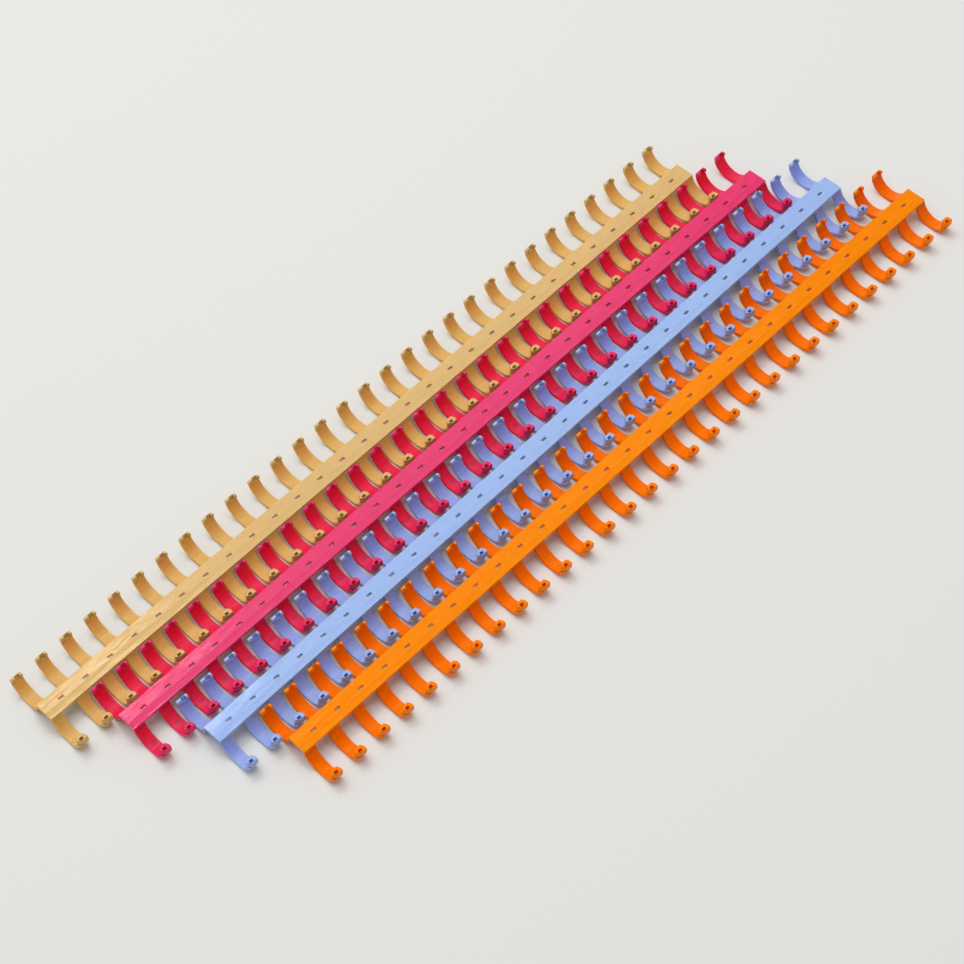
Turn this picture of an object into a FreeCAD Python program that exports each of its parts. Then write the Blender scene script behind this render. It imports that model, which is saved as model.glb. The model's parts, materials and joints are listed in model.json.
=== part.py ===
import FreeCAD, Part
import math
import os
import Sketcher

# A set of four loose-leaf binding combs, lying open and side by side on a table.
# Each comb is a slotted strip with a row of half rings hinged along both of its edges.
# X runs along the strips, Y across them, Z up from the table. Millimetres and degrees.

DRIVING = (
    ("ring_count", 30, "half rings in a row"),
    ("pitch", 9.5, "ring to ring, the spacing of punched loose-leaf paper"),
    ("ring_width", 4.0, "along the strip"),
    ("ring_radius", 7.0, "from the ring's middle to the outer edges of its flats"),
    ("ring_wall", 0.95, "thickness of the ring"),
    ("flat_turn", 42.0, "of the lowest flat, which stands on the table"),
    ("tip_start", 33.0, "below the ring's middle, where its round part gives way to the straight tip"),
    ("close_turn", 100.0, "turn of a half ring from lying open to clasped"),
    ("tip_gap", 0.25, "between the two tips of a clasped ring"),
    ("tongue_reach", 0.85, "tongue past the end of its tip"),
    ("tongue_wall", 0.4, "thickness of the tongue at its end"),
    ("tongue_clear", 0.35, "room on the outer side of the tongue in its socket"),
    ("lip_clear", 0.35, "room on the inner side of the tongue in its socket"),
    ("lip_wall", 0.7, "thickness of the socket's lip"),
    ("lip_step", 0.1, "lip's top below the end of its tip"),
    ("lip_foot", 0.3, "where the lip starts, as a share of the flat before the tip"),
    ("clasp_inset", 0.2, "tongue and lip, from the ring's middle"),
    ("strip_width", 7.0, "across the strip"),
    ("strip_wall", 1.1, "thickness of the strip"),
    ("strip_top", 6.4, "top of the strip above the table"),
    ("slot_length", 1.8, "along the strip"),
    ("slot_width", 0.8, "across the strip"),
    ("film_height", 0.6, "hinge film from the strip to the ring"),
    ("film_wall", 0.3, "thickness of the hinge film where it leaves the strip"),
    ("film_gap", 0.08, "film to ring"),
    ("tan_pink_room", 0.75, "rings of one comb to the strip of the next"),
    ("pink_blue_room", 1.65, "rings of one comb to the strip of the next"),
    ("blue_orange_room", 2.85, "rings of one comb to the strip of the next"),
    ("tan_turn", 0.0, "from the X axis, as the combs lie a little fanned"),
    ("pink_turn", 0.1, "from the X axis"),
    ("blue_turn", 0.3, "from the X axis"),
    ("orange_turn", -0.35, "from the X axis"),
    ("middle_x", 0.0, "middle of the set before it is centred, measured below"),
    ("middle_y", 0.0, "middle of the set before it is centred, measured below"),
)

DERIVED = (
    ("row_length", "(ring_count - 1) * pitch"),
    ("strip_length", "row_length + ring_width"),
    ("strip_bottom", "strip_top - strip_wall"),
    ("hinge_y", "strip_width / 2 - film_wall / 2"),
    ("hinge_z", "strip_bottom - film_height / 2"),
    ("ring_z", "ring_radius * cos(flat_turn / 2)"),
    ("inner_radius", "ring_radius - ring_wall / cos(flat_turn / 2)"),
    ("root_drop", "ring_z - strip_bottom + film_height + film_gap"),
    ("ring_y", "strip_width / 2 + sqrt(inner_radius ^ 2 - root_drop ^ 2)"),
    ("root_angle", "asin(root_drop / inner_radius) - 180 deg"),
    ("low_start", "flat_turn * -0.5 deg - 90 deg"),
    ("low_end", "flat_turn * 0.5 deg - 90 deg"),
    ("end_angle", "tip_start * -1 deg"),
    ("turn_cos", "cos(close_turn)"),
    ("turn_sin", "sin(close_turn)"),
    ("tip_y", "ring_y + inner_radius * cos(end_angle)"),
    ("tip_z", "ring_z + inner_radius * sin(end_angle)"),
    ("tip_length", "hinge_y + (tip_y - hinge_y) * turn_cos - (tip_z - hinge_z) * turn_sin - tip_gap / 2"),
    ("rim_y", "ring_y + ring_radius * cos(end_angle)"),
    ("rim_z", "ring_z + ring_radius * sin(end_angle)"),
    ("rim_length", "hinge_y + (rim_y - hinge_y) * turn_cos - (rim_z - hinge_z) * turn_sin - tip_gap / 2"),
    ("reach", "rim_y - rim_length * turn_cos"),
    ("comb_shift", "1.5 * pitch"),
    ("tan_to_pink", "reach + strip_width / 2 + tan_pink_room"),
    ("pink_to_blue", "reach + strip_width / 2 + pink_blue_room"),
    ("blue_to_orange", "reach + strip_width / 2 + blue_orange_room"),
    ("tan_x", "-1.5 * comb_shift"),
    ("pink_x", "-0.5 * comb_shift"),
    ("blue_x", "0.5 * comb_shift"),
    ("orange_x", "1.5 * comb_shift"),
    ("tan_y", "(tan_to_pink + pink_to_blue + blue_to_orange) / 2"),
    ("pink_y", "tan_y - tan_to_pink"),
    ("blue_y", "pink_y - pink_to_blue"),
    ("orange_y", "blue_y - blue_to_orange"),
)

COMBS = ("tan", "pink", "blue", "orange")
RING_EDGES = ("sizes.root_angle", "sizes.low_start", "sizes.low_end", "sizes.end_angle")
HALF_TURN = {"left": 0, "right": 180}

doc = FreeCAD.newDocument("binding_combs")
sizes = doc.addObject("Spreadsheet::Sheet", "sizes")


def fill_sheet():
    row = 0
    for name, value, note in DRIVING:
        row += 1
        sizes.set("A%d" % row, name)
        sizes.set("B%d" % row, str(value))
        sizes.set("C%d" % row, note)
        sizes.setAlias("B%d" % row, name)
    for name, formula in DERIVED:
        row += 1
        sizes.set("A%d" % row, name)
        sizes.set("B%d" % row, "=" + formula)
        sizes.setAlias("B%d" % row, name)
    doc.recompute()


def new_body(label, comb, side="left"):
    body = doc.addObject("PartDesign::Body", label)
    body.Label = label
    body.AllowCompound = True
    body.Placement.Rotation = FreeCAD.Rotation(FreeCAD.Vector(0, 0, 1), 1)
    body.setExpression("Placement.Base.x", "sizes.%s_x - sizes.middle_x" % comb)
    body.setExpression("Placement.Base.y", "sizes.%s_y - sizes.middle_y" % comb)
    turn = "sizes.%s_turn * 1 deg + %d deg" % (comb, HALF_TURN[side])
    body.setExpression("Placement.Rotation.Angle", turn)
    return body


def outline(body, name, plane, points, offset):
    """Closed outline through points, each a pair of expressions, on a plane moved along its normal."""
    sketch = body.newObject("Sketcher::SketchObject", name)
    base = [feature for feature in body.Origin.OriginFeatures if feature.Role == plane][0]
    sketch.AttachmentSupport = (base, [""])
    sketch.MapMode = "FlatFace"
    sketch.setExpression("AttachmentOffset.Base.z", offset)
    count = len(points)
    # the lines start out as a regular outline, which the bound distances then pull into shape
    spots = [FreeCAD.Vector(math.cos(2 * math.pi * i / count), math.sin(2 * math.pi * i / count), 0)
             for i in range(count)]
    for i in range(count):
        sketch.addGeometry(Part.LineSegment(spots[i], spots[(i + 1) % count]), False)
    for i in range(count):
        sketch.addConstraint(Sketcher.Constraint("Coincident", i, 2, (i + 1) % count, 1))
    for i, (across, up) in enumerate(points):
        for axis, expression, value in (("DistanceX", across, spots[i].x), ("DistanceY", up, spots[i].y)):
            index = sketch.addConstraint(Sketcher.Constraint(axis, -1, 1, i, 1, value))
            sketch.setExpression("Constraints[%d]" % index, expression)
    return sketch


def pad(body, sketch, name, length, midplane=False):
    feature = body.newObject("PartDesign::Pad", name)
    feature.Profile = sketch
    feature.setExpression("Length", length)
    feature.Midplane = midplane
    feature.Refine = True
    body.Tip = feature
    doc.recompute()
    return feature


def pattern(body, name, originals, axis_of, axis, length, count):
    feature = body.newObject("PartDesign::LinearPattern", name)
    feature.Originals = originals
    feature.Direction = (axis_of, [axis])
    feature.setExpression("Length", length)
    feature.setExpression("Occurrences", count)
    body.Tip = feature
    doc.recompute()


def rectangle(half_x, half_y):
    return [("-(%s)" % half_x, "-(%s)" % half_y), (half_x, "-(%s)" % half_y),
            (half_x, half_y), ("-(%s)" % half_x, half_y)]


def make_strip(comb):
    body = new_body("%s_strip" % comb, comb)
    plate = outline(body, "%s_strip_plan" % comb, "XY_Plane",
                    rectangle("sizes.strip_length / 2", "sizes.strip_width / 2"), "sizes.strip_bottom")
    solid = pad(body, plate, "%s_strip_plate" % comb, "sizes.strip_wall")
    first = "-(sizes.row_length - sizes.pitch) / 2"
    corners = [("%s + (%s)" % (first, x), y) for x, y in rectangle("sizes.slot_length / 2", "sizes.slot_width / 2")]
    plan = outline(body, "%s_slot_plan" % comb, "XY_Plane", corners, "sizes.strip_top")
    slot = body.newObject("PartDesign::Pocket", "%s_slot" % comb)
    slot.Profile = plan
    slot.Type = "ThroughAll"
    body.Tip = slot
    doc.recompute()
    if not slot.Shape.Volume < solid.Shape.Volume:
        raise RuntimeError("%s slot cuts nothing" % comb)
    pattern(body, "%s_slots" % comb, [slot], plan, "H_Axis",
            "sizes.row_length - sizes.pitch", "sizes.ring_count - 1")
    return body


def make_films(comb, side):
    """Films that neck down from the strip's underside to the roots of the rings."""
    label = "%s_%s_hinges" % (comb, side)
    body = new_body(label, comb, side)
    corners = [("sizes.hinge_y", "sizes.strip_bottom - sizes.film_height"),
               ("sizes.strip_width / 2", "sizes.strip_bottom"),
               ("sizes.strip_width / 2 - sizes.film_wall", "sizes.strip_bottom")]
    section = outline(body, label + "_section", "YZ_Plane", corners, "-sizes.row_length / 2")
    film = pad(body, section, label + "_first", "sizes.ring_width", midplane=True)
    pattern(body, label + "_row", [film], section, "N_Axis", "sizes.row_length", "sizes.ring_count")
    return body


def on_ring(radius, angle):
    return ("sizes.ring_y + (%s) * cos(%s)" % (radius, angle),
            "sizes.ring_z + (%s) * sin(%s)" % (radius, angle))


def on_tip(along, inward):
    """A point measured along the straight tip from where it starts, and inwards from its inner face."""
    return ("sizes.tip_y - (%s) * sizes.turn_cos - (%s) * sizes.turn_sin" % (along, inward),
            "sizes.tip_z + (%s) * sizes.turn_sin - (%s) * sizes.turn_cos" % (along, inward))


def ring_section():
    """Flats from the root round to the straight tip, which ends square and meets its twin when clasped."""
    outer = [on_ring("sizes.ring_radius", angle) for angle in RING_EDGES]
    inner = [on_ring("sizes.inner_radius", angle) for angle in reversed(RING_EDGES)]
    rim = ("sizes.reach", "sizes.rim_z + sizes.rim_length * sizes.turn_sin")
    return outer + [rim, on_tip("sizes.tip_length", "0")] + inner


def tongue_section():
    """Tongue that ramps off the inner face of a tip and reaches past its end."""
    end = "sizes.tip_length + sizes.tongue_reach"
    middle = "sizes.tip_length / 2"
    return [on_tip("0", "0"), on_tip(middle, "-sizes.ring_wall / 2"), on_tip("sizes.tip_length", "0"),
            on_tip(end, "sizes.tongue_clear"), on_tip(end, "sizes.tongue_clear + sizes.tongue_wall")]


def socket_section():
    """Lip that stands off the inner face of a tip, with room for the tongue between them."""
    room = "sizes.tongue_clear + sizes.tongue_wall + sizes.lip_clear"
    top = "sizes.tip_length - sizes.lip_step"
    before = on_ring("sizes.inner_radius", "sizes.low_end")
    after = on_tip("0", "0")
    foot = tuple("%s + sizes.lip_foot * (%s - (%s))" % (a, b, a) for a, b in zip(before, after))
    buried = on_ring("sizes.ring_radius - sizes.ring_wall / 2", "(sizes.low_end + 2 * sizes.end_angle) / 3")
    return [foot, buried, after, on_tip(top, room), on_tip(top, "%s + sizes.lip_wall" % room)]


def make_rings(comb, side):
    label = "%s_%s_rings" % (comb, side)
    body = new_body(label, comb, side)
    first = "-sizes.row_length / 2"
    section = outline(body, label + "_section", "YZ_Plane", ring_section(), first)
    ring = pad(body, section, label + "_first", "sizes.ring_width", midplane=True)
    clasp = tongue_section() if side == "left" else socket_section()
    start = "sizes.clasp_inset" if side == "left" else "-sizes.ring_width / 2"
    plan = outline(body, label + "_clasp_section", "YZ_Plane", clasp, "%s + %s" % (first, start))
    half = pad(body, plan, label + "_clasp", "sizes.ring_width / 2 - sizes.clasp_inset")
    if not half.Shape.Volume > ring.Shape.Volume:
        raise RuntimeError("%s clasp adds nothing" % label)
    pattern(body, label + "_row", [ring, half], section, "N_Axis", "sizes.row_length", "sizes.ring_count")
    return body


def centre_set(parts):
    """Moves the set so that the middle of its box stands over the origin."""
    box = FreeCAD.BoundBox()
    for part in parts:
        box.add(part.Shape.BoundBox)
    middle = {"middle_x": box.Center.x, "middle_y": box.Center.y}
    for row, (name, value, note) in enumerate(DRIVING, 1):
        if name in middle:
            sizes.set("B%d" % row, "%.4f" % middle[name])
    doc.recompute()


def write_parts(parts):
    for item in doc.Objects:
        if "Invalid" in item.State or "Error" in item.State:
            raise RuntimeError("%s failed: %s" % (item.Label, item.State))
    for part in parts:
        if part.Shape.isNull() or not part.Shape.isValid():
            raise RuntimeError("%s has no valid shape" % part.Label)
    os.makedirs("parts", exist_ok=True)
    for part in parts:
        part.Shape.exportStep("parts/%s.step" % part.Label)
        print("%-20s %3d solids %10.2f mm3" % (part.Label, len(part.Shape.Solids), part.Shape.Volume))


fill_sheet()
pieces = []
for comb_name in COMBS:
    pieces.append(make_strip(comb_name))
    for row_side in HALF_TURN:
        pieces.append(make_films(comb_name, row_side))
        pieces.append(make_rings(comb_name, row_side))
centre_set(pieces)
write_parts(pieces)
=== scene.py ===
import json
import math

import bpy
import numpy as np
from mathutils import Matrix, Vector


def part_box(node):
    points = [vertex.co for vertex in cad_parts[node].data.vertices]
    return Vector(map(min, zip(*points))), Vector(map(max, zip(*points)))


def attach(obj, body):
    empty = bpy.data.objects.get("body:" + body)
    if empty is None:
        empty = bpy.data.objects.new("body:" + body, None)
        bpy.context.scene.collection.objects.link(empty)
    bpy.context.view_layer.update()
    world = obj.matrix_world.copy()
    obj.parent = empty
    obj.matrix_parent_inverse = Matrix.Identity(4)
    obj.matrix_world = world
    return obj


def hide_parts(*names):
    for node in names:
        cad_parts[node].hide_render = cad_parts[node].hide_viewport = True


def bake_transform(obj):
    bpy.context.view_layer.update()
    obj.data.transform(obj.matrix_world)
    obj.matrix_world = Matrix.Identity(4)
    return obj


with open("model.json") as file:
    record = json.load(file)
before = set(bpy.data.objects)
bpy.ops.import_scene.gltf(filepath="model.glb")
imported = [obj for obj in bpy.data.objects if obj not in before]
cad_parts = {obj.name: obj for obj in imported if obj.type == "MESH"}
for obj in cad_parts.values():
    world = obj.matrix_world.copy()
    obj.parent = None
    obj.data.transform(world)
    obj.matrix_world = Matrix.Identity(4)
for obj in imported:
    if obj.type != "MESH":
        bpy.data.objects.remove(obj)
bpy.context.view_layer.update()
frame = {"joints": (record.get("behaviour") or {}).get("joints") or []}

mm = 0.001
scene = bpy.context.scene
combNames = ["tan", "pink", "blue", "orange"]
sideSigns = {"left": 1.0, "right": -1.0}
ringCount = 30
pitch = 9.5  # mm from one ring to the next

# Colours as sRGB: the strip's face, and the half rings' deeper colour, a shaded copy of the same plastic that
# the painted shade on the rings blends towards. Glow is how far each colour of light travels in the plastic,
# and tinted how much of the colour its gloss takes on
colours = {
    "tan": {"face": (217, 182, 120), "ring": (224, 175, 94), "glow": (1.0, 0.45, 0.12), "tinted": 0.65},
    "pink": {"face": (229, 53, 114), "ring": (234, 16, 55), "glow": (1.0, 0.1, 0.16), "tinted": 0.6},
    "blue": {"face": (162, 188, 235), "ring": (149, 162, 226), "glow": (0.5, 0.5, 1.0), "tinted": 0.65},
    "orange": {"face": (255, 142, 0), "ring": (255, 106, 0), "glow": (0.6, 0.15, 0.03), "tinted": 0.95},
}
plastic = {
    "roughness": 0.17, "rough": 0.06, "dullRings": 0.34, "specular": 0.35,
    "soft": 0.85, "depth": 1.8,  # share of the light that goes in, and how many mm
    "stretch": (70.0, 300.0, 300.0), "detail": 2.0, "span": (0.3, 0.7),  # flow marks
    "mottle": 0.3, "waves": 0.36, "grain": 0.012, "grainScale": 1400.0,
}


# sRGB from 0 to 255, to linear light with an alpha of 1
def linear(rgb):
    c = np.array(rgb, float) / 255.0
    values = np.where(c <= 0.04045, c / 12.92, ((c + 0.055) / 1.055) ** 2.4)
    return (*values.tolist(), 1.0)


def addNode(tree, kind, **settings):
    node = tree.nodes.new(kind)
    for name, value in settings.items():
        setattr(node, name, value)
    return node


# value * factor + base, where base is a number or another node's output
def addScaled(tree, value, factor, base, clamp=False):
    node = addNode(tree, "ShaderNodeMath", operation="MULTIPLY_ADD", use_clamp=clamp)
    tree.links.new(value, node.inputs[0])
    node.inputs[1].default_value = factor
    if isinstance(base, float):
        node.inputs[2].default_value = base
    else:
        tree.links.new(base, node.inputs[2])
    return node.outputs[0]


# A bump so many mm high, on top of another one where there is one
def addBump(tree, height, distance, below=None):
    bump = addNode(tree, "ShaderNodeBump")
    bump.inputs["Strength"].default_value = 1.0
    bump.inputs["Distance"].default_value = distance * mm
    tree.links.new(height, bump.inputs["Height"])
    if below is not None:
        tree.links.new(below, bump.inputs["Normal"])
    return bump.outputs["Normal"]


# Flow marks: soft clouds drawn out along the strip
def addClouds(tree, place):
    stretch = addNode(tree, "ShaderNodeMapping")
    stretch.inputs["Scale"].default_value = plastic["stretch"]
    tree.links.new(place, stretch.inputs["Vector"])
    clouds = addNode(tree, "ShaderNodeTexNoise")
    clouds.inputs["Scale"].default_value = 1.0
    clouds.inputs["Detail"].default_value = plastic["detail"]
    tree.links.new(stretch.outputs["Vector"], clouds.inputs["Vector"])
    return clouds.outputs["Fac"]


# From the face's colour to the ring's by the points' painted shade, mottled by the flow marks
def addTone(tree, name, clouds, paintedShade):
    shift = addNode(tree, "ShaderNodeMath", operation="SUBTRACT")
    shift.inputs[1].default_value = 0.5
    tree.links.new(clouds, shift.inputs[0])
    tone = addNode(tree, "ShaderNodeMix", data_type="RGBA")
    tone.inputs["A"].default_value = linear(colours[name]["face"])
    tone.inputs["B"].default_value = linear(colours[name]["ring"])
    amount = addScaled(tree, shift.outputs[0], plastic["mottle"], paintedShade, clamp=True)
    tree.links.new(amount, tone.inputs["Factor"])
    return tone.outputs["Result"]


# Roughness that wavers with the flow marks, duller where the painted shade is deeper
def addRoughness(tree, clouds, paintedShade):
    gloss = addNode(tree, "ShaderNodeMapRange")
    gloss.inputs["From Min"].default_value = plastic["span"][0]
    gloss.inputs["From Max"].default_value = plastic["span"][1]
    gloss.inputs["To Min"].default_value = plastic["roughness"] - plastic["rough"]
    gloss.inputs["To Max"].default_value = plastic["roughness"] + plastic["rough"]
    tree.links.new(clouds, gloss.inputs["Value"])
    return addScaled(tree, paintedShade, plastic["dullRings"], gloss.outputs["Result"])


def makePlastic(name):
    mat = bpy.data.materials.new(name + "_plastic")
    mat.use_nodes = True
    tree = mat.node_tree
    shader = tree.nodes["Principled BSDF"]
    place = addNode(tree, "ShaderNodeTexCoord").outputs["Object"]
    # the points' painted shade: how far their colour goes from the face's towards the ring's, where shade
    # falls
    paintedShade = addNode(tree, "ShaderNodeAttribute", attribute_name="paintedShade").outputs["Fac"]
    clouds = addClouds(tree, place)
    tree.links.new(addTone(tree, name, clouds, paintedShade), shader.inputs["Base Color"])
    tree.links.new(addRoughness(tree, clouds, paintedShade), shader.inputs["Roughness"])
    # light goes into the plastic, but not where its points are marked as solid
    solid = addNode(tree, "ShaderNodeAttribute", attribute_name="solid").outputs["Fac"]
    soft = addScaled(tree, solid, -plastic["soft"], plastic["soft"])
    tree.links.new(soft, shader.inputs["Subsurface Weight"])
    shader.inputs["Subsurface Radius"].default_value = colours[name]["glow"]
    shader.inputs["Subsurface Scale"].default_value = plastic["depth"] * mm
    shader.inputs["Specular IOR Level"].default_value = plastic["specular"]
    tint = [1 + colours[name]["tinted"] * (c - 1) for c in linear(colours[name]["face"])]
    shader.inputs["Specular Tint"].default_value = tint
    # slow waves in the moulded face, with a fine grain on them
    waves = addBump(tree, clouds, plastic["waves"])
    grain = addNode(tree, "ShaderNodeTexNoise")
    grain.inputs["Scale"].default_value = plastic["grainScale"]
    tree.links.new(place, grain.inputs["Vector"])
    bump = addBump(tree, grain.outputs["Fac"], plastic["grain"], waves)
    tree.links.new(bump, shader.inputs["Normal"])
    return mat


plastics = {name: makePlastic(name) for name in combNames}
print("plastics made")


# Each comb's middle and direction, read from the frame
def combPlace(name):
    low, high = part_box(name + "_strip")
    axis = [joint["axis"] for joint in frame["joints"] if joint["name"] == name + "_left_close"][0]
    middle = [(low[0] + high[0]) / 2, (low[1] + high[1]) / 2]
    return np.array(middle), np.array(axis[:2])


places = {name: combPlace(name) for name in combNames}


# Points in a comb's own millimetres, x along it and y to its left, to metres in the frame
def toFrame(name, points):
    middle, axis = places[name]
    p = np.asarray(points, float) * mm
    x = middle[0] + p[:, 0] * axis[0] - p[:, 1] * axis[1]
    y = middle[1] + p[:, 0] * axis[1] + p[:, 1] * axis[0]
    return np.stack([x, y, p[:, 2]], 1)


# The painted shade and solid are one value for the piece or one for each point, and sharp is an angle in
# degrees
def makePiece(pieceName, comb, points, faces, paintedShade, solid=0.0, sharp=35.0):
    mesh = bpy.data.meshes.new(pieceName)
    mesh.from_pydata(toFrame(comb, points).tolist(), [], faces)
    for key, values in (("paintedShade", paintedShade), ("solid", solid)):
        mesh.attributes.new(key, "FLOAT", "POINT")
        values = np.broadcast_to(np.asarray(values, np.float32), len(points)).copy()
        mesh.attributes[key].data.foreach_set("value", values)
    mesh.polygons.foreach_set("use_smooth", np.ones(len(mesh.polygons), bool))
    mesh.set_sharp_from_angle(angle=math.radians(sharp))
    mesh.materials.append(plastics[comb])
    mesh.validate()
    piece = bpy.data.objects.new(pieceName, mesh)
    scene.collection.objects.link(piece)
    return piece


# A tube of sections with as many points each: each is joined to the next, and both ends are closed
def tubeFaces(stations, count):
    i, j = np.meshgrid(np.arange(stations - 1) * count, np.arange(count), indexing="ij")
    k = (j + 1) % count
    walls = np.stack([i + j, i + k, i + count + k, i + count + j], -1).reshape(-1, 4)
    ends = [list(reversed(range(count))), list(range((stations - 1) * count, stations * count))]
    return walls.tolist() + ends


# A closed shell whose faces look inwards has a volume below zero, and its faces turn round
def outward(points, faces):
    fans = [(face[0], face[k], face[k + 1]) for face in faces for k in range(1, len(face) - 1)]
    a, b, c = points[np.array(fans)].transpose(1, 0, 2)
    volume = (a * np.cross(b, c)).sum() / 6
    return faces if volume > 0 else [tuple(reversed(face)) for face in faces]


def joined(shells):
    points, faces, start = [], [], 0
    for shellPoints, shellFaces in shells:
        points.append(shellPoints)
        faces += [tuple(v + start for v in face) for face in outward(shellPoints, shellFaces)]
        start += len(shellPoints)
    return np.concatenate(points), faces


# One copy of a shell at every ring along the strip
def repeated(points, faces):
    shift = (np.arange(ringCount) - (ringCount - 1) / 2) * pitch
    many = points + np.outer(shift, (1.0, 0.0, 0.0))[:, None, :]
    starts = np.arange(ringCount) * len(points)
    manyFaces = [tuple(v + start for v in face) for start in starts.tolist() for face in faces]
    return many.reshape(-1, 3), manyFaces


# The right side is the left one seen in a mirror, so its faces turn round
def onSide(points, faces, side):
    if side == "left":
        return points, faces
    return points * np.array([1.0, -1.0, 1.0]), [tuple(reversed(face)) for face in faces]


# Strip: a flat bar with small rounded edges, a row of slots and a fine raised line beside them
strip = {
    "width": 7.0, "top": 6.4, "wall": 1.1, "overhang": 2.0,  # past the middle of the last ring
    "slotLength": 1.8, "slotWidth": 0.8, "ridgeAt": -1.2, "ridgeWidth": 0.5, "ridgeHeight": 0.07,
    "edge": 0.16, "edgeSteps": 2, "edgeAngle": 50.0, "sharp": 30.0,
}


# Two grids of nx by ny points, the upper one first: both sides, a rim all round and the slots' walls.
# Every other cell of one row is a slot
def stripFaces(nx, ny, slotRow):
    upper = np.arange(nx * ny).reshape(nx, ny)
    under = nx * ny
    cells = np.stack([upper[:-1, :-1], upper[1:, :-1], upper[1:, 1:], upper[:-1, 1:]], -1)
    isSlot = np.zeros((nx - 1, ny - 1), bool)
    isSlot[1::2, slotRow] = True
    plain, slots = cells[~isSlot], cells[isSlot][:, ::-1]
    # a wall goes down from each edge p to q, on the way round with the strip on the left
    rim = np.concatenate([upper[:-1, 0], upper[-1, :-1], upper[:0:-1, -1], upper[0, :0:-1]])
    p = np.concatenate([rim, slots.ravel()])
    q = np.concatenate([np.roll(rim, -1), np.roll(slots, -1, 1).ravel()])
    walls = np.stack([p, p + under, q + under, q], 1)
    return np.concatenate([plain, plain[:, ::-1] + under, walls]).tolist()


# x along the strip by y across it, at z = top with the ridge's line raised and at z = top - wall
def makeStrip(name):
    half, slotHalf = strip["width"] / 2, strip["slotWidth"] / 2
    length = (ringCount - 1) * pitch + 2 * strip["overhang"]
    slots = (np.arange(ringCount - 1) - (ringCount - 2) / 2) * pitch
    slotEnds = slots[:, None] + strip["slotLength"] * np.array([-0.5, 0.5])
    xs = np.array([-length / 2, *slotEnds.ravel(), length / 2])
    ridge = strip["ridgeAt"] + strip["ridgeWidth"] * np.array([-0.5, 0.0, 0.5])
    ys = np.array([-half, *ridge, -slotHalf, slotHalf, half])
    lift = np.where(ys == ridge[1], strip["ridgeHeight"], 0.0)
    gx, gy = np.meshgrid(xs, ys, indexing="ij")
    topZ = strip["top"] - strip["ridgeHeight"] + np.broadcast_to(lift, gx.shape)
    lowZ = np.full_like(gx, strip["top"] - strip["wall"])
    points = np.concatenate([np.stack([gx, gy, z], -1).reshape(-1, 3) for z in (topZ, lowZ)])
    faces = stripFaces(len(xs), len(ys), ys.tolist().index(-slotHalf))
    piece = makePiece(name + "_strip_face", name, points, faces, 0.0, sharp=strip["sharp"])
    bevel = piece.modifiers.new("edges", "BEVEL")
    bevel.width = strip["edge"] * mm
    bevel.segments = strip["edgeSteps"]
    bevel.limit_method = "ANGLE"
    bevel.angle_limit = math.radians(strip["edgeAngle"])
    bevel.harden_normals = True
    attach(piece, name + "_comb")
    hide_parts(name + "_strip")


for name in combNames:
    makeStrip(name)
print("strips made")

# Half rings: a flat band swept round an arc from under the strip, with a head on its end. In a tip, x goes
# across the band, u along the tip from the end of the arc, and v inwards from the band's inner face
ring = {
    "width": 4.0, "wall": 0.95, "radius": 6.535, "centreY": 9.17, "centreZ": 6.535,
    "rootAngle": -158.7, "bendAngle": -20.0, "tipLean": 80.0, "arcSteps": 7,
    "edge": 0.16, "endThin": 0.1, "headEdge": 0.256,
}
leftTip = {
    "bandEnd": 0.8, "bandCut": 0.05, "foot": 0.5, "footShare": 0.99, "footV": -0.02, "rise": 0.6, "top": 2.35,
    "skin": 0.84, "nearV": 0.22, "farV": 0.42, "notchX": (-0.4, 1.15), "notchV": -0.6,
    "topNear": 0.4, "topFar": 0.32, "notchFlare": 0.048,
    "tongueX": (0.1, 0.65), "tongueU": (0.2, 1.6), "tongueV": (-0.7, -0.36), "tongueTip": 0.1,
}
# The right head's corners go round from its outer side: two there, one on the far side, two on the lip
# and one on the near side. Sides are far and near
rightTip = {
    "endAngle": -33.0, "nearCut": 0.6, "farCut": 0.1, "swell": 0.4, "swellFrom": -80.0,
    "cornersX": (-0.2, 1.96, 1.96, 1.3, -0.7, -1.5), "sides": (0.1, 0.05), "lip": 1.2, "curl": 0.45,
    "baseU": -2.4, "baseOuter": 0.5, "baseSides": (0.8, 0.8), "baseLip": 1.15,
    "lowU": -1.05, "lowOuter": -0.8, "lowSides": (0.2, 0.1),
    "top": 1.1, "topShareX": 0.9, "topShareV": 0.88,
    "holeX": (-0.6, 0.7), "holeV": (-0.2, 0.75), "holeDepth": 1.5,
}
pinMark = {
    "combs": ("pink",), "angle": -100.0, "along": 0.4, "sides": 10,
    "radius": 0.85, "rim": 0.22, "height": 0.12, "sink": 0.15, "outerSlope": 0.05, "innerSlope": 0.03,
}


# Centre line c(a) = (cy + r cos a, cz + r sin a) and its inward normal n(a) = (-cos a, -sin a), where r may
# swell a little on the last part, as the square of the way along it
def ringArc(endAngle, swell=0.0):
    degrees = np.linspace(ring["rootAngle"], endAngle, ring["arcSteps"] + 1)
    a = np.radians(degrees)
    swellFrom = rightTip["swellFrom"]
    grown = np.clip((degrees - swellFrom) / (endAngle - swellFrom), 0.0, 1.0) ** 2
    radius = ring["radius"] - ring["wall"] / 2 + swell * grown
    line = np.stack([ring["centreY"] + radius * np.cos(a), ring["centreZ"] + radius * np.sin(a)], 1)
    return line, np.stack([-np.cos(a), -np.sin(a)], 1)


# A tip starts at the end of the arc, and goes straight on at its lean
def tipFrame():
    line = ringArc(ring["bendAngle"])[0]
    lean = math.radians(ring["tipLean"])
    along = np.array([math.cos(lean), math.sin(lean)])
    inward = np.array([-math.sin(lean), math.cos(lean)])
    return line[-1], along, inward


# y and z of a tip's points: start + u along + (v + wall / 2) inward
def onTip(u, v):
    start, along, inward = tipFrame()
    return start + np.multiply.outer(u, along) + np.multiply.outer(v + ring["wall"] / 2, inward)


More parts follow.
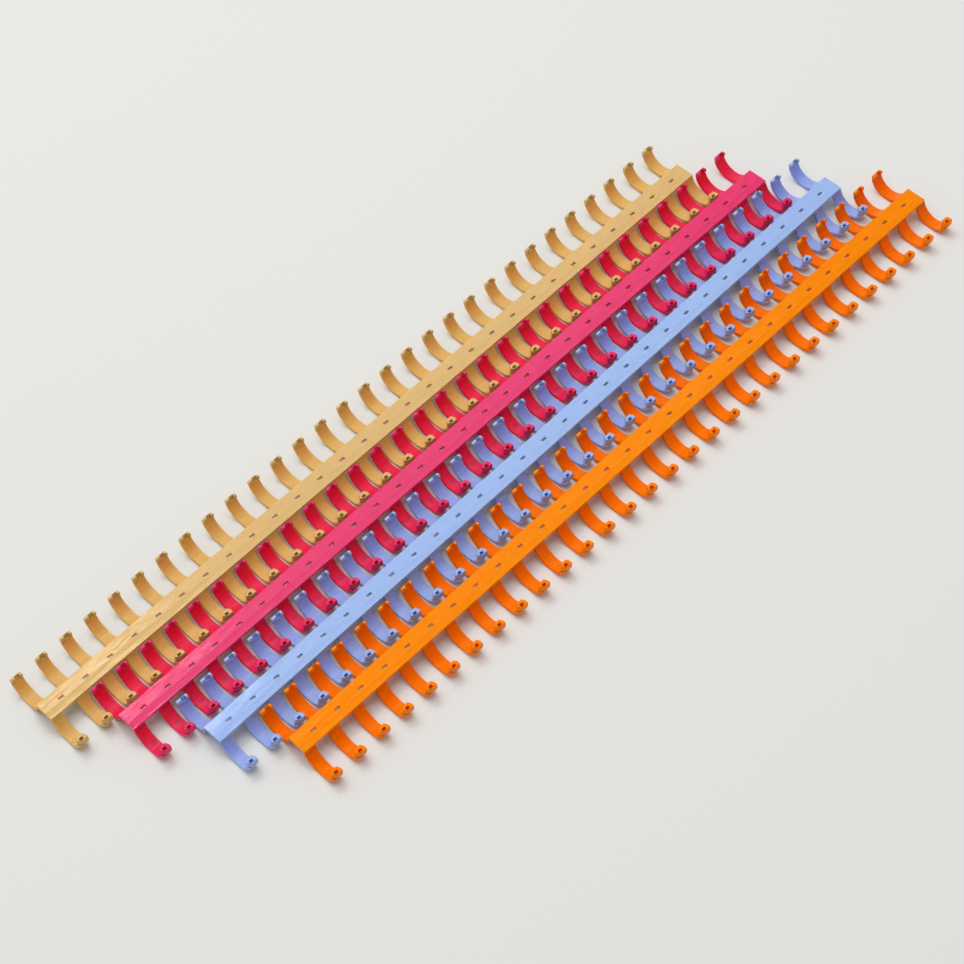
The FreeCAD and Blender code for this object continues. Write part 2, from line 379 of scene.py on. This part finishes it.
# Section x across the band by d along its normal, with the two inner corners cut, carried along the arc
# to the given angle, and on along the tip where a length is given. The last section is cut at its sides
def makeBand(endAngle, tipLength, nearCut, farCut, swell=0.0):
    line, normal = ringArc(endAngle, swell)
    half, thick, e = ring["width"] / 2, ring["wall"] / 2, ring["edge"]
    if tipLength:
        line = np.concatenate([line, [onTip(tipLength, -thick)]])
        normal = np.concatenate([normal, [tipFrame()[2]]])
    last = (np.arange(len(line)) == len(line) - 1).astype(float)
    x0, x1 = -half + nearCut * last, half - farCut * last
    d0, d1 = -thick + ring["endThin"] * last, np.full(len(line), thick)
    x = np.stack([x0, x1, x1, x1 - e, x0 + e, x0], 1)
    d = np.stack([d0, d0, d1 - e, d1, d1, d1 - e], 1)
    yz = line[:, None, :] + d[:, :, None] * normal[:, None, :]
    return np.concatenate([x[:, :, None], yz], 2).reshape(-1, 3), tubeFaces(*x.shape)


# A block on the tip: loops of equal count, each given as its points' x, u and v, and joined to the next
def tipBlock(loops):
    x, u, v = np.stack([np.stack(np.broadcast_arrays(*loop)) for loop in loops], 1)
    points = np.concatenate([x[:, :, None], onTip(u, v)], 2)
    return points.reshape(-1, 3), tubeFaces(*x.shape)


# Head of a left tip: two lobes with a notch between them on the inner side
def makeLeftHead():
    half, e = ring["width"] / 2, ring["edge"]
    n0, n1 = leftTip["notchX"]
    outer, far, notch, near = -leftTip["skin"], leftTip["farV"], leftTip["notchV"], leftTip["nearV"]
    x = np.array([-half, half, half, n1, n1, n0, n0, -half])
    v = np.array([outer, outer, far, far, notch, notch, near, near])
    nearIn, farIn, flare = leftTip["topNear"], leftTip["topFar"], leftTip["notchFlare"]
    insetX = np.array([nearIn, -farIn, -farIn, flare, flare, -flare, -flare, nearIn])
    insetV = e * np.array([1.0, 1.0, -1.0, -1.0, 0.0, 0.0, -1.0, -1.0])
    foot, top = leftTip["foot"], leftTip["top"]
    base = (x * leftTip["footShare"], foot, np.minimum(v, leftTip["footV"]))
    low = (x, foot + leftTip["rise"], v)
    high = (x, top - ring["headEdge"], v)
    end = (x + insetX, top, v + insetV)
    return tipBlock([base, low, high, end])


# Tongue: a wedge that stands in the notch, thin at its end
def makeTongue():
    x0, x1 = leftTip["tongueX"]
    foot, end = leftTip["tongueU"]
    v0, v1 = leftTip["tongueV"]
    x = np.array([x0, x1, x1, x0])
    base = (x, foot, np.array([v0, v0, v1, v1]))
    tip = (x, end, v1 - leftTip["tongueTip"] * np.array([1.0, 1.0, 0.0, 0.0]))
    return tipBlock([base, tip])


def headCorners(outer, sides, lip):
    return np.array([outer, outer, sides[0], lip, lip, sides[1]])


# Head of a right tip: rises from the band with a ledge at its near outer corner, and holds a square socket
def makeRightHead():
    top, lip, curl = rightTip["top"], rightTip["lip"], rightTip["curl"]
    x = np.array(rightTip["cornersX"])
    v = headCorners(-ring["wall"], rightTip["sides"], lip)
    baseV = headCorners(rightTip["baseOuter"], rightTip["baseSides"], rightTip["baseLip"])
    lowV = headCorners(rightTip["lowOuter"], rightTip["lowSides"], lip + curl / 2)
    x0, x1 = rightTip["holeX"]
    v0, v1 = rightTip["holeV"]
    holeX = np.array([x0, x1, x1, x1, x0, x0])
    holeV = headCorners(v0, ((v0 + v1) / 2, (v0 + v1) / 2), v1)
    base = (x, rightTip["baseU"], baseV)
    low = (x, rightTip["lowU"], lowV)
    high = (x, top - ring["headEdge"], v + curl)
    end = (x * rightTip["topShareX"], top, v * rightTip["topShareV"] + curl)
    return tipBlock([base, low, high, end, (holeX, top, holeV), (holeX, top - rightTip["holeDepth"], holeV)])


# The mark of an ejector pin on the inner face: a low round rim, as rings of radius r at height h
def makePinMark():
    a = math.radians(pinMark["angle"])
    radius = ring["radius"] - ring["wall"]
    spot = np.array([ring["centreY"] + radius * math.cos(a), ring["centreZ"] + radius * math.sin(a)])
    along, inward = np.array([-math.sin(a), math.cos(a)]), np.array([-math.cos(a), -math.sin(a)])
    turn = np.linspace(0.0, 2 * math.pi, pinMark["sides"], endpoint=False)
    outer, inner = pinMark["radius"], pinMark["radius"] - pinMark["rim"]
    r = np.array([outer, outer - pinMark["outerSlope"], inner + pinMark["innerSlope"], inner])
    h = np.array([-pinMark["sink"], pinMark["height"], pinMark["height"], -pinMark["sink"]])
    x = pinMark["along"] - np.outer(r, np.cos(turn))
    yz = spot + np.outer(r, np.sin(turn))[:, :, None] * along + h[:, None, None] * inward
    return np.concatenate([x[:, :, None], yz], 2).reshape(-1, 3), tubeFaces(*x.shape)


# Painted shade on the half rings: the ring colour grows towards the left tips and towards the right roots,
# where shade falls, given as root and tip of each side. The heads have a painted tone of their own above a
# height, and the tops of the left ones are paler again, a painted highlight where they face up
ringShadeTones = {
    "rootY": 3.1, "tipY": 15.6, "left": (0.6, 1.0), "right": (1.0, 0.3),
    "headFrom": 5.4, "head": {"left": 0.6, "right": 0.35}, "leftTopFrom": 6.3, "leftTop": 0.12,
}


def ringPaintedShade(points, side):
    span = ringShadeTones["tipY"] - ringShadeTones["rootY"]
    along = np.clip((points[:, 1] - ringShadeTones["rootY"]) / span, 0.0, 1.0)
    root, tip = ringShadeTones[side]
    tone = root + (tip - root) * along
    tone[points[:, 2] > ringShadeTones["headFrom"]] = ringShadeTones["head"][side]
    # painted highlight: the tops of the left heads, which face up, are paler
    if side == "left":
        tone[points[:, 2] > ringShadeTones["leftTopFrom"]] = ringShadeTones["leftTop"]
    return tone


def makeRings(name, side):
    if side == "left":
        cut = leftTip["bandCut"]
        shells = [makeBand(ring["bendAngle"], leftTip["bandEnd"], cut, cut), makeLeftHead(), makeTongue()]
    else:
        nearCut, farCut, swell = rightTip["nearCut"], rightTip["farCut"], rightTip["swell"]
        shells = [makeBand(rightTip["endAngle"], 0.0, nearCut, farCut, swell), makeRightHead()]
        if name in pinMark["combs"]:
            shells.append(makePinMark())
    # light goes deep into the bands, and no further than the skin of the small heads and marks
    solid = np.concatenate([np.full(len(shell[0]), float(i > 0)) for i, shell in enumerate(shells)])
    points, faces = repeated(*joined(shells))
    # painted shade for each point of the rings, deeper where shade falls on them
    tone = ringPaintedShade(points, side)
    points, faces = onSide(points, faces, side)
    pieceName = "%s_%s_half_rings" % (name, side)
    piece = makePiece(pieceName, name, points, faces, tone, np.tile(solid, ringCount))
    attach(piece, "%s_%s_row" % (name, side))
    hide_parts("%s_%s_rings" % (name, side))


# Living hinges: films that thicken from the strip's underside to the roots of the rings
film = {
    "inset": 0.03, "steps": 5, "topY": (3.1, 3.5), "topZ": 5.35, "rootY": (3.1, 3.95), "rootZ": (4.1, 4.46),
    "bendFrom": (3.35, 5.3), "bendTo": (3.45, 4.45),
}


# A four-sided section carried down: y and z go from top to root in equal steps t
def makeFilms(name, side):
    half = ring["width"] / 2 - film["inset"]
    t = np.linspace(0.0, 1.0, film["steps"])[:, None]
    x = half * np.array([-1.0, -1.0, 1.0, 1.0])
    corner = [0, 1, 1, 0]
    y = np.array(film["topY"])[corner] * (1 - t) + np.array(film["rootY"])[corner] * t
    z = film["topZ"] * (1 - t) + np.array(film["rootZ"])[corner] * t
    points = np.stack(np.broadcast_arrays(x, y, z), -1).reshape(-1, 3)
    points, faces = onSide(*repeated(points, tubeFaces(*y.shape)), side)
    # the films take the full painted shade of the ring colour, as they lie in shade under the strip
    piece = makePiece("%s_%s_films" % (name, side), name, points, faces, 1.0)
    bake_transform(piece)
    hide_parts("%s_%s_hinges" % (name, side))


for name in combNames:
    for side in sideSigns:
        makeRings(name, side)
        makeFilms(name, side)
print("rings and films made")

# Floor: a plain pale square. Its size is in metres, and its drop below the combs in mm
floor = {"colour": (226, 226, 222), "roughness": 0.7, "specular": 0.2, "size": 6.0, "drop": 0.02}


def makeFloor():
    half = floor["size"] / 2
    z = -floor["drop"] * mm
    mesh = bpy.data.meshes.new("floor")
    corners = [(-half, -half, z), (half, -half, z), (half, half, z), (-half, half, z)]
    mesh.from_pydata(corners, [], [(0, 1, 2, 3)])
    mat = bpy.data.materials.new("floor")
    mat.use_nodes = True
    shader = mat.node_tree.nodes["Principled BSDF"]
    shader.inputs["Base Color"].default_value = linear(floor["colour"])
    shader.inputs["Roughness"].default_value = floor["roughness"]
    shader.inputs["Specular IOR Level"].default_value = floor["specular"]
    mesh.materials.append(mat)
    piece = bpy.data.objects.new("floor", mesh)
    scene.collection.objects.link(piece)


makeFloor()

# Two soft lamps, with places and sizes in metres, that look at the middle of the set
lights = {
    "lamp": {"place": (0.1, 0.55, 1.0), "size": 0.16, "power": 1.25, "tint": (255, 253, 248)},
    "window": {"place": (0.1, 0.8, 2.3), "size": 2.6, "power": 43.0, "tint": (252, 253, 255)},
}
sky = {"light": 0.46, "colour": (250, 250, 250), "shown": (234, 235, 233)}


# Turns an object so that its -z axis looks from its place to the target
def aim(holder, target):
    way = np.array(target) - np.array(holder.location)
    flat = math.hypot(way[0], way[1])
    turn = math.atan2(way[1], way[0]) - math.pi / 2
    holder.rotation_euler = (math.atan2(flat, -way[2]), 0.0, turn)


def makeLight(name, values):
    lamp = bpy.data.lights.new(name, "AREA")
    lamp.size = values["size"]
    lamp.energy = values["power"]
    lamp.color = linear(values["tint"])[:3]
    holder = bpy.data.objects.new(name, lamp)
    holder.location = values["place"]
    aim(holder, (0.0, 0.0, 0.0))
    scene.collection.objects.link(holder)


for name, values in lights.items():
    makeLight(name, values)


# The sky lights the scene, and is seen as the pale backdrop by the camera and in reflections
def makeSky():
    world = bpy.data.worlds.new("sky")
    world.use_nodes = True
    tree = world.node_tree
    tree.nodes.clear()
    rays = addNode(tree, "ShaderNodeLightPath")
    first = addNode(tree, "ShaderNodeMath", operation="MAXIMUM")
    tree.links.new(rays.outputs["Is Camera Ray"], first.inputs[0])
    tree.links.new(rays.outputs["Is Glossy Ray"], first.inputs[1])
    seen = addNode(tree, "ShaderNodeMath", operation="MAXIMUM")
    tree.links.new(first.outputs[0], seen.inputs[0])
    tree.links.new(rays.outputs["Is Transmission Ray"], seen.inputs[1])
    glow = addNode(tree, "ShaderNodeBackground")
    glow.inputs["Color"].default_value = linear(sky["colour"])
    glow.inputs["Strength"].default_value = sky["light"]
    shown = addNode(tree, "ShaderNodeBackground")
    shown.inputs["Color"].default_value = linear(sky["shown"])
    mixer = addNode(tree, "ShaderNodeMixShader")
    tree.links.new(seen.outputs[0], mixer.inputs[0])
    tree.links.new(glow.outputs[0], mixer.inputs[1])
    tree.links.new(shown.outputs[0], mixer.inputs[2])
    out = addNode(tree, "ShaderNodeOutputWorld")
    tree.links.new(mixer.outputs[0], out.inputs["Surface"])
    scene.world = world


makeSky()

# Camera worked out from where the strips' slots and corners lie in the photograph: its place and lens
# in mm, its angles in degrees, and clip in metres
view = {
    "place": (-301.13, -320.65, 630.42), "azimuth": 47.953, "elevation": 55.824, "roll": -4.548,
    "lens": 92.18, "sensor": 36.0, "clip": (0.01, 50.0),
}


def makeCamera():
    az, el, roll = [math.radians(view[key]) for key in ("azimuth", "elevation", "roll")]
    ahead = np.array([math.cos(el) * math.cos(az), math.cos(el) * math.sin(az), -math.sin(el)])
    level = np.array([math.sin(az), -math.cos(az), 0.0])
    upright = np.cross(level, ahead)
    right = level * math.cos(roll) + upright * math.sin(roll)
    up = upright * math.cos(roll) - level * math.sin(roll)
    data = bpy.data.cameras.new("camera")
    data.lens = view["lens"]
    data.sensor_width = view["sensor"]
    data.clip_start, data.clip_end = view["clip"]
    camera = bpy.data.objects.new("camera", data)
    matrix = np.eye(4)
    matrix[:3] = np.column_stack([right, up, -ahead, np.array(view["place"]) * mm])
    scene.collection.objects.link(camera)
    camera.matrix_world = Matrix(matrix.tolist())
    scene.camera = camera


makeCamera()
scene.view_settings.view_transform = "Standard"
print("floor, light and camera set")

bpy.context.view_layer.update()
